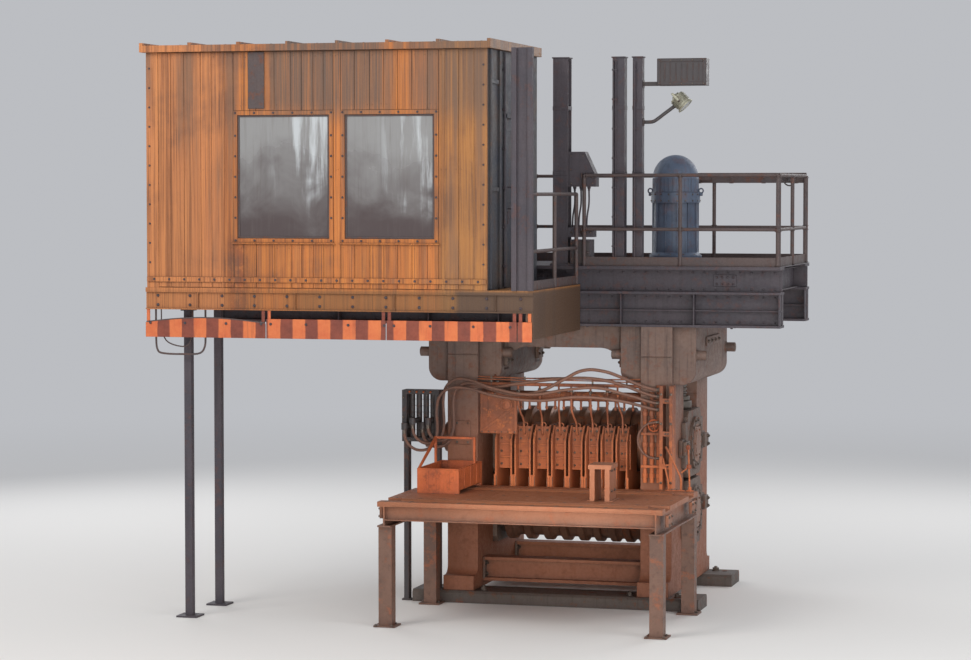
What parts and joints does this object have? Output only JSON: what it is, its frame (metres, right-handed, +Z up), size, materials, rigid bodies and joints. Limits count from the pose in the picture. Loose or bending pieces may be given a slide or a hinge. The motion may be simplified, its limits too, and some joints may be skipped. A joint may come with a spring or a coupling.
{
  "type": "two-high rolling mill stand with control cab",
  "caption": "Two-high rolling mill stand: two closed cast housings carry grooved rolls in chocks, a screw-down drive, a railed platform and an orange control cab.",
  "frame": {"origin": "centre of the rectangle of anchor bolt holes, on the underside of the sole plates", "axes": "+X along the roll axis away from the drive side, -Y the delivery side where the bar leaves, +Z up"},
  "size_m": [7.29, 4.97, 6.86],
  "materials": {
    "cast_frame": "rough",
    "sole_steel": "rough",
    "chock_steel": "rough",
    "roll_iron": "satin",
    "screw_steel": "satin",
    "drive_paint": "matt",
    "guide_rust": "rough",
    "platform_paint": "matt",
    "rail_paint": "matt",
    "cab_orange": "matt",
    "cab_side": "matt",
    "cab_glazing": "gloss",
    "stripe_paint": "matt",
    "lamp_metal": "satin",
    "apron_steel": "rough",
    "tray_paint": "matt",
    "valve_paint": "matt",
    "hose_rubber": "matt"
  },
  "bodies": {
    "frame": {"sole_plate_front": "sole_steel", "sole_plate_back": "sole_steel", "housing_left": "cast_frame", "housing_right": "cast_frame", "bottom_ties": "cast_frame", "top_ties": "cast_frame", "bottom_chock_left": "chock_steel", "bottom_chock_right": "chock_steel", "top_chock_left": "chock_steel", "top_chock_right": "chock_steel", "screws": "screw_steel", "screw_gearbox_left": "drive_paint", "screw_gearbox_right": "drive_paint", "screw_motor_left": "drive_paint", "screw_motor_right": "drive_paint", "cross_shaft": "screw_steel", "rest_bar_front": "guide_rust", "rest_bar_back": "guide_rust", "delivery_guides": "guide_rust", "entry_guides": "guide_rust", "girder_front": "platform_paint", "girder_back": "platform_paint", "deck_beams": "platform_paint", "deck": "platform_paint", "railing_front": "rail_paint", "railing_back": "rail_paint", "railing_right": "rail_paint", "cab_frame": "cab_orange", "cab_posts": "platform_paint", "cab_floor": "cab_orange", "cab_wall_front": "cab_orange", "cab_wall_left": "cab_orange", "cab_wall_right": "cab_side", "cab_wall_back": "cab_orange", "cab_roof": "cab_orange", "cab_glass": "cab_glazing", "cab_door": "cab_side", "heat_screen": "platform_paint", "striped_skirt": "stripe_paint", "service_columns": "platform_paint", "floodlight": "lamp_metal", "service_cabinet": "platform_paint", "apron_frame": "apron_steel", "apron_plates": "apron_steel", "guide_portal": "apron_steel", "scale_tray": "tray_paint", "valve_block": "valve_paint", "pipe_stand": "guide_rust", "water_header": "guide_rust", "splash_guard": "guide_rust", "hoses": "hose_rubber"},
    "bottom_roll": {"bottom_roll": "roll_iron"},
    "top_roll": {"top_roll": "roll_iron"},
    "near_table_roller": {"table_roller_near": "apron_steel"},
    "far_table_roller": {"table_roller_far": "apron_steel"}
  },
  "joints": [
    {"name": "bottom_roll_spin", "type": "hinge", "parent": "frame", "child": "bottom_roll", "pos_m": [0, 0, 1.0745], "axis": [1, 0, 0], "continuous": true},
    {"name": "top_roll_spin", "type": "hinge", "parent": "frame", "child": "top_roll", "pos_m": [0, 0, 1.9395], "axis": [1, 0, 0], "continuous": true},
    {"name": "near_roller_spin", "type": "hinge", "parent": "frame", "child": "near_table_roller", "pos_m": [0.1, -1.83, 1.365], "axis": [1, 0, 0], "continuous": true},
    {"name": "far_roller_spin", "type": "hinge", "parent": "frame", "child": "far_table_roller", "pos_m": [0.1, -3.23, 1.365], "axis": [1, 0, 0], "continuous": true}
  ],
  "couplings": [
    {"joint": "top_roll_spin", "follows": "bottom_roll_spin", "ratio": -1}
  ]
}
